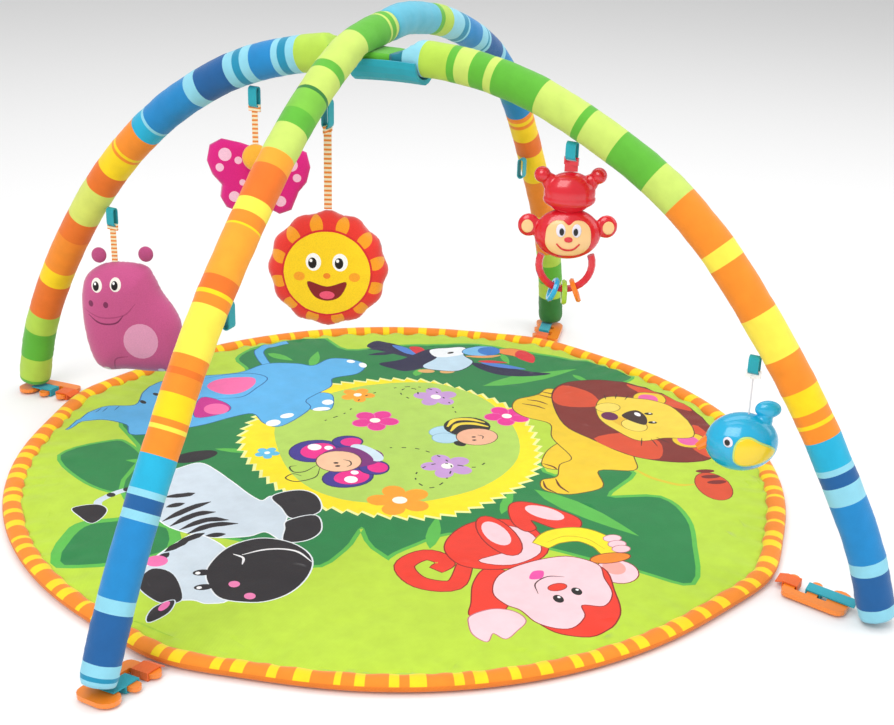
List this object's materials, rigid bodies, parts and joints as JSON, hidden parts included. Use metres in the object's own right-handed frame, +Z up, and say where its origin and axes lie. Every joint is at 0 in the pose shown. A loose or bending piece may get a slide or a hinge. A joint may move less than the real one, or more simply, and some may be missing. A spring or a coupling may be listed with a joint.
{
  "type": "activity play gym",
  "caption": "Baby activity play gym: a round padded mat clipped to two crossed padded arches that carry hanging plush and plastic toys.",
  "frame": {"origin": "centre of the bounding box on the floor, under the mat", "axes": "+Z up; front is -Y, and the arches run on the diagonals from front left to back right and from back left to front right"},
  "size_m": [0.85, 0.8604, 0.5082],
  "materials": {
    "mat_print": "printed woven polyester",
    "binding_fabric": "striped woven polyester over a stuffed roll",
    "sleeve_fabric": "striped woven polyester",
    "crown_fabric": "gathered woven polyester",
    "turquoise_webbing": "woven webbing",
    "orange_webbing": "woven webbing",
    "orange_plastic": "moulded, glossy",
    "rod_fibreglass": "pultruded fibreglass",
    "ferrule_steel": "drawn tube",
    "striped_ribbon": "woven ribbon",
    "hippo_plush": "brushed plush",
    "sun_plush": "printed plush",
    "butterfly_plush": "printed plush",
    "wing_plush": "printed plush",
    "red_plastic": "moulded, glossy",
    "cream_plastic": "moulded, satin",
    "teether_blue_plastic": "moulded, satin",
    "teether_lime_plastic": "moulded, satin",
    "teether_orange_plastic": "moulded, satin",
    "bird_blue_plastic": "moulded, glossy",
    "bird_yellow_plastic": "moulded, satin",
    "beak_orange_plastic": "moulded, satin",
    "spool_plastic": "moulded",
    "white_cord": "braided"
  },
  "bodies": {
    "mat_and_upper_arch": {"mat_pad": "mat_print", "mat_binding": "binding_fabric", "mat_tab_front_left": "orange_webbing", "mat_tab_front_right": "orange_webbing", "mat_tab_back_left": "orange_webbing", "mat_tab_back_right": "orange_webbing", "rod_front_left": "rod_fibreglass", "sleeve_front_left": "sleeve_fabric", "foot_strap_front_left": "turquoise_webbing", "rod_back_right": "rod_fibreglass", "sleeve_back_right": "sleeve_fabric", "foot_strap_back_right": "turquoise_webbing", "ferrule_a": "ferrule_steel", "toy_loop_sun": "turquoise_webbing", "toy_loop_front_left_spare": "turquoise_webbing", "toy_loop_back_right_spare": "turquoise_webbing", "toy_loop_back_right_low": "turquoise_webbing"},
    "lower_arch": {"rod_back_left": "rod_fibreglass", "sleeve_back_left": "sleeve_fabric", "foot_strap_back_left": "turquoise_webbing", "rod_front_right": "rod_fibreglass", "sleeve_front_right": "sleeve_fabric", "foot_strap_front_right": "turquoise_webbing", "ferrule_b": "ferrule_steel", "crown_cuff": "crown_fabric", "toy_loop_hippo": "turquoise_webbing", "toy_loop_butterfly": "turquoise_webbing", "toy_loop_monkey": "turquoise_webbing", "toy_loop_bird": "turquoise_webbing"},
    "hippo": {"hippo_ribbon": "striped_ribbon", "hippo_body": "hippo_plush", "hippo_ear_left": "hippo_plush", "hippo_ear_right": "hippo_plush"},
    "butterfly": {"butterfly_ribbon": "striped_ribbon", "butterfly_body": "butterfly_plush", "butterfly_wing_left": "wing_plush", "butterfly_wing_right": "wing_plush"},
    "sun": {"sun_ribbon": "striped_ribbon", "sun_body": "sun_plush"},
    "monkey": {"monkey_ribbon": "red_plastic", "monkey_body": "red_plastic", "monkey_head": "red_plastic", "monkey_face": "cream_plastic", "monkey_handle": "red_plastic"},
    "bird_hanger": {"bird_ribbon": "spool_plastic", "bird_cord": "white_cord"},
    "bird": {"bird_shell": "bird_blue_plastic", "bird_wing": "bird_yellow_plastic", "bird_beak": "beak_orange_plastic"},
    "bird_spool": {"bird_spool": "spool_plastic"},
    "clip_front_left": {"clip_front_left": "orange_plastic"},
    "clip_front_right": {"clip_front_right": "orange_plastic"},
    "clip_back_left": {"clip_back_left": "orange_plastic"},
    "clip_back_right": {"clip_back_right": "orange_plastic"},
    "teether_blue": {"teether_blue": "teether_blue_plastic"},
    "teether_lime": {"teether_lime": "teether_lime_plastic"},
    "teether_orange": {"teether_orange": "teether_orange_plastic"}
  },
  "joints": [
    {"name": "lower_arch_fold", "type": "hinge", "parent": "mat_and_upper_arch", "child": "lower_arch", "pos_m": [-0.042, -0.0076, 0.475], "axis": [0, 0, 1], "range_deg": [0, 30]},
    {"name": "clip_front_left_slide", "type": "slide", "parent": "mat_and_upper_arch", "child": "clip_front_left", "axis": [-0.723, 0.6909, 0], "range_m": [0, 0.028]},
    {"name": "clip_front_right_slide", "type": "slide", "parent": "mat_and_upper_arch", "child": "clip_front_right", "axis": [-0.723, -0.6909, 0], "range_m": [0, 0.028]},
    {"name": "clip_back_left_slide", "type": "slide", "parent": "mat_and_upper_arch", "child": "clip_back_left", "axis": [0.723, 0.6909, 0], "range_m": [0, 0.028]},
    {"name": "clip_back_right_slide", "type": "slide", "parent": "mat_and_upper_arch", "child": "clip_back_right", "axis": [0.723, -0.6909, 0], "range_m": [0, 0.028]},
    {"name": "hippo_swing", "type": "hinge", "parent": "lower_arch", "child": "hippo", "pos_m": [-0.27552, 0.23676, 0.24008], "axis": [0.6909, -0.723, 0], "range_deg": [-20, 20]},
    {"name": "butterfly_swing", "type": "hinge", "parent": "lower_arch", "child": "butterfly", "pos_m": [-0.13596, 0.09072, 0.40292], "axis": [0.6909, -0.723, 0], "range_deg": [-20, 20]},
    {"name": "sun_swing", "type": "hinge", "parent": "mat_and_upper_arch", "child": "sun", "pos_m": [-0.0952, -0.06327, 0.4143], "axis": [0.6909, 0.723, 0], "range_deg": [-20, 20]},
    {"name": "monkey_swing", "type": "hinge", "parent": "lower_arch", "child": "monkey", "pos_m": [0.11276, -0.16955, 0.3986], "axis": [0.6909, -0.723, 0], "range_deg": [-20, 20]},
    {"name": "bird_swing", "type": "hinge", "parent": "lower_arch", "child": "bird_hanger", "pos_m": [0.24679, -0.3098, 0.22583], "axis": [0.6909, -0.723, 0], "range_deg": [-20, 20]},
    {"name": "teether_blue_swing", "type": "hinge", "parent": "monkey", "child": "teether_blue", "pos_m": [0.10369, -0.16655, 0.26906], "axis": [0.8803, -0.2911, -0.3746], "range_deg": [-40, 40]},
    {"name": "teether_lime_swing", "type": "hinge", "parent": "monkey", "child": "teether_lime", "pos_m": [0.11276, -0.16955, 0.2672], "axis": [0.9494, -0.314, 0], "range_deg": [-40, 40]},
    {"name": "teether_orange_swing", "type": "hinge", "parent": "monkey", "child": "teether_orange", "pos_m": [0.12183, -0.17254, 0.26906], "axis": [0.8803, -0.2911, 0.3746], "range_deg": [-40, 40]},
    {"name": "bird_pull", "type": "slide", "parent": "bird_hanger", "child": "bird", "axis": [0, 0, -1], "range_m": [0, 0.036], "stiffness_N_per_m": 12, "springref_m": -0.04},
    {"name": "bird_spool_turn", "type": "hinge", "parent": "bird", "child": "bird_spool", "pos_m": [0.25647, -0.313, 0.15233], "axis": [0.314, 0.9494, 0], "range_deg": [0, 215]}
  ],
  "couplings": [
    {"joint": "bird_spool_turn", "follows": "bird_pull", "rad_per_m": 102.04}
  ]
}
